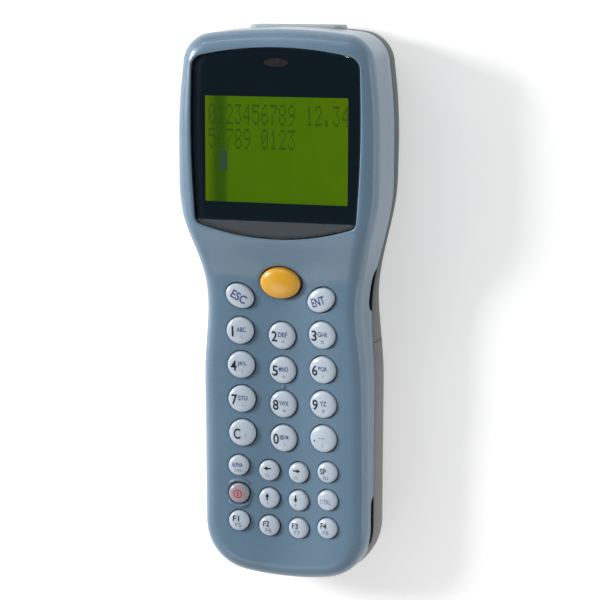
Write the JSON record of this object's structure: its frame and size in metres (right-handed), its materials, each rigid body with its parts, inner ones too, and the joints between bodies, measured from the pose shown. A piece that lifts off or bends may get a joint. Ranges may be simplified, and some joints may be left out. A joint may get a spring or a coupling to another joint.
{
  "type": "portable barcode data terminal",
  "caption": "Hand-held barcode data terminal: raised display head with scan window, slim grip with sprung dome keys, and a slide-off battery cover.",
  "frame": {"origin": "middle of the body in plan, on the plane that the back rests on", "axes": "+X across the keypad to the right as it is read, +Y from the grip to the scan window, +Z out of the keys and screen"},
  "size_m": [0.0672, 0.1832, 0.0344],
  "materials": {
    "blue_case": "fine speckled satin paint",
    "grey_case": "fine texture",
    "cover": "fine texture",
    "clear_lens": "polished clear plastic",
    "black_print": "printed film",
    "screen_glass": "yellow-green reflective screen",
    "frame_metal": "stamped",
    "light_guide": "clear moulding",
    "circuit_board": "solder mask",
    "flex_film": "polyimide film",
    "indicator": "tinted light pipe",
    "mat_rubber": "silicone",
    "black_parts": "moulded",
    "cell_jacket": "plastic jacket",
    "steel": "plated",
    "red_window": "deep red filter",
    "gold_pad": "gold plated",
    "key_grey": "painted dome",
    "key_amber": "painted dome",
    "key_rose": "painted dome"
  },
  "bodies": {
    "housing": {"front_case": "blue_case", "rear_case": "grey_case", "display_lens": "clear_lens", "lens_mask": "black_print", "lcd_panel": "screen_glass", "lcd_frame": "frame_metal", "backlight": "light_guide", "lcd_board": "circuit_board", "lcd_flex": "flex_film", "indicator_light": "indicator", "key_mat": "mat_rubber", "main_board": "circuit_board", "board_chips": "black_parts", "buzzer": "black_parts", "backup_cell": "steel", "battery_cells": "cell_jacket", "battery_springs": "steel", "battery_plates": "steel", "scan_engine": "black_parts", "scan_window": "red_window", "engine_bracket": "steel", "engine_flex": "flex_film", "case_screws": "steel", "board_screws": "steel", "strap_anchors": "black_parts", "cradle_contacts": "gold_pad"},
    "battery_cover": {"battery_cover": "cover"},
    "key_scan": {"key_scan": "key_amber"},
    "key_esc": {"key_esc": "key_grey"},
    "key_enter": {"key_enter": "key_grey"},
    "key_1": {"key_1": "key_grey"},
    "key_2": {"key_2": "key_grey"},
    "key_3": {"key_3": "key_grey"},
    "key_4": {"key_4": "key_grey"},
    "key_5": {"key_5": "key_grey"},
    "key_6": {"key_6": "key_grey"},
    "key_7": {"key_7": "key_grey"},
    "key_8": {"key_8": "key_grey"},
    "key_9": {"key_9": "key_grey"},
    "key_c": {"key_c": "key_grey"},
    "key_0": {"key_0": "key_grey"},
    "key_dot": {"key_dot": "key_grey"},
    "key_alpha": {"key_alpha": "key_grey"},
    "key_left": {"key_left": "key_grey"},
    "key_right": {"key_right": "key_grey"},
    "key_space": {"key_space": "key_grey"},
    "key_power": {"key_power": "key_rose"},
    "key_up": {"key_up": "key_grey"},
    "key_down": {"key_down": "key_grey"},
    "key_ctrl": {"key_ctrl": "key_grey"},
    "key_f1": {"key_f1": "key_grey"},
    "key_f2": {"key_f2": "key_grey"},
    "key_f3": {"key_f3": "key_grey"},
    "key_f4": {"key_f4": "key_grey"}
  },
  "joints": [
    {"name": "battery_cover_slide", "type": "slide", "parent": "housing", "child": "battery_cover", "axis": [0, -1, 0], "range_m": [0, 0.082]},
    {"name": "key_scan_press", "type": "slide", "parent": "housing", "child": "key_scan", "axis": [0, 0, -1], "range_m": [0, 0.0009], "stiffness_N_per_m": 600},
    {"name": "key_esc_press", "type": "slide", "parent": "housing", "child": "key_esc", "axis": [0, 0, -1], "range_m": [0, 0.0009], "stiffness_N_per_m": 400},
    {"name": "key_enter_press", "type": "slide", "parent": "housing", "child": "key_enter", "axis": [0, 0, -1], "range_m": [0, 0.0009], "stiffness_N_per_m": 400},
    {"name": "key_1_press", "type": "slide", "parent": "housing", "child": "key_1", "axis": [0, 0, -1], "range_m": [0, 0.0009], "stiffness_N_per_m": 400},
    {"name": "key_2_press", "type": "slide", "parent": "housing", "child": "key_2", "axis": [0, 0, -1], "range_m": [0, 0.0009], "stiffness_N_per_m": 400},
    {"name": "key_3_press", "type": "slide", "parent": "housing", "child": "key_3", "axis": [0, 0, -1], "range_m": [0, 0.0009], "stiffness_N_per_m": 400},
    {"name": "key_4_press", "type": "slide", "parent": "housing", "child": "key_4", "axis": [0, 0, -1], "range_m": [0, 0.0009], "stiffness_N_per_m": 400},
    {"name": "key_5_press", "type": "slide", "parent": "housing", "child": "key_5", "axis": [0, 0, -1], "range_m": [0, 0.0009], "stiffness_N_per_m": 400},
    {"name": "key_6_press", "type": "slide", "parent": "housing", "child": "key_6", "axis": [0, 0, -1], "range_m": [0, 0.0009], "stiffness_N_per_m": 400},
    {"name": "key_7_press", "type": "slide", "parent": "housing", "child": "key_7", "axis": [0, 0, -1], "range_m": [0, 0.0009], "stiffness_N_per_m": 400},
    {"name": "key_8_press", "type": "slide", "parent": "housing", "child": "key_8", "axis": [0, 0, -1], "range_m": [0, 0.0009], "stiffness_N_per_m": 400},
    {"name": "key_9_press", "type": "slide", "parent": "housing", "child": "key_9", "axis": [0, 0, -1], "range_m": [0, 0.0009], "stiffness_N_per_m": 400},
    {"name": "key_c_press", "type": "slide", "parent": "housing", "child": "key_c", "axis": [0, 0, -1], "range_m": [0, 0.0009], "stiffness_N_per_m": 400},
    {"name": "key_0_press", "type": "slide", "parent": "housing", "child": "key_0", "axis": [0, 0, -1], "range_m": [0, 0.0009], "stiffness_N_per_m": 400},
    {"name": "key_dot_press", "type": "slide", "parent": "housing", "child": "key_dot", "axis": [0, 0, -1], "range_m": [0, 0.0009], "stiffness_N_per_m": 400},
    {"name": "key_alpha_press", "type": "slide", "parent": "housing", "child": "key_alpha", "axis": [0, 0, -1], "range_m": [0, 0.0009], "stiffness_N_per_m": 400},
    {"name": "key_left_press", "type": "slide", "parent": "housing", "child": "key_left", "axis": [0, 0, -1], "range_m": [0, 0.0009], "stiffness_N_per_m": 400},
    {"name": "key_right_press", "type": "slide", "parent": "housing", "child": "key_right", "axis": [0, 0, -1], "range_m": [0, 0.0009], "stiffness_N_per_m": 400},
    {"name": "key_space_press", "type": "slide", "parent": "housing", "child": "key_space", "axis": [0, 0, -1], "range_m": [0, 0.0009], "stiffness_N_per_m": 400},
    {"name": "key_power_press", "type": "slide", "parent": "housing", "child": "key_power", "axis": [0, 0, -1], "range_m": [0, 0.0009], "stiffness_N_per_m": 400},
    {"name": "key_up_press", "type": "slide", "parent": "housing", "child": "key_up", "axis": [0, 0, -1], "range_m": [0, 0.0009], "stiffness_N_per_m": 400},
    {"name": "key_down_press", "type": "slide", "parent": "housing", "child": "key_down", "axis": [0, 0, -1], "range_m": [0, 0.0009], "stiffness_N_per_m": 400},
    {"name": "key_ctrl_press", "type": "slide", "parent": "housing", "child": "key_ctrl", "axis": [0, 0, -1], "range_m": [0, 0.0009], "stiffness_N_per_m": 400},
    {"name": "key_f1_press", "type": "slide", "parent": "housing", "child": "key_f1", "axis": [0, 0, -1], "range_m": [0, 0.0009], "stiffness_N_per_m": 400},
    {"name": "key_f2_press", "type": "slide", "parent": "housing", "child": "key_f2", "axis": [0, 0, -1], "range_m": [0, 0.0009], "stiffness_N_per_m": 400},
    {"name": "key_f3_press", "type": "slide", "parent": "housing", "child": "key_f3", "axis": [0, 0, -1], "range_m": [0, 0.0009], "stiffness_N_per_m": 400},
    {"name": "key_f4_press", "type": "slide", "parent": "housing", "child": "key_f4", "axis": [0, 0, -1], "range_m": [0, 0.0009], "stiffness_N_per_m": 400}
  ]
}
